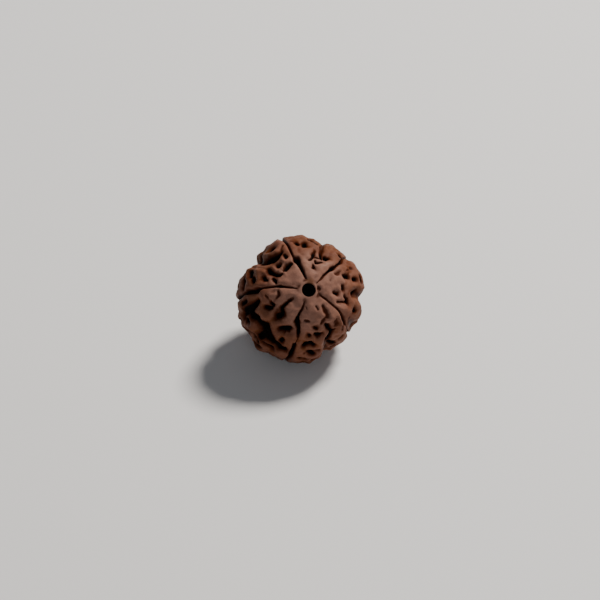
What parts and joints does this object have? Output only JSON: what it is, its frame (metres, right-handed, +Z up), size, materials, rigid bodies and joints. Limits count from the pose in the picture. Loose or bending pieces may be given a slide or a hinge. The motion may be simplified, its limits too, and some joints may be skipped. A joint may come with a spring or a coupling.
{
  "type": "rudraksha seed",
  "caption": "Lobed, pitted woody fruit stone bored end to end for a cord, lying on a small flat spot with one mouth of the bore looking up.",
  "frame": {"origin": "middle of the flat spot that the seed rests on, under its weight", "axes": "+Z up; the front mouth of the bore looks up and forward, towards -Y; +X is to the right seen from the front"},
  "size_m": [0.0179, 0.0174, 0.0168],
  "materials": {
    "stone": "matte, slightly waxy reddish brown fruit stone, near black in its seams and pits"
  },
  "bodies": {
    "root": {"rudraksha_seed": "stone"}
  },
  "joints": []
}
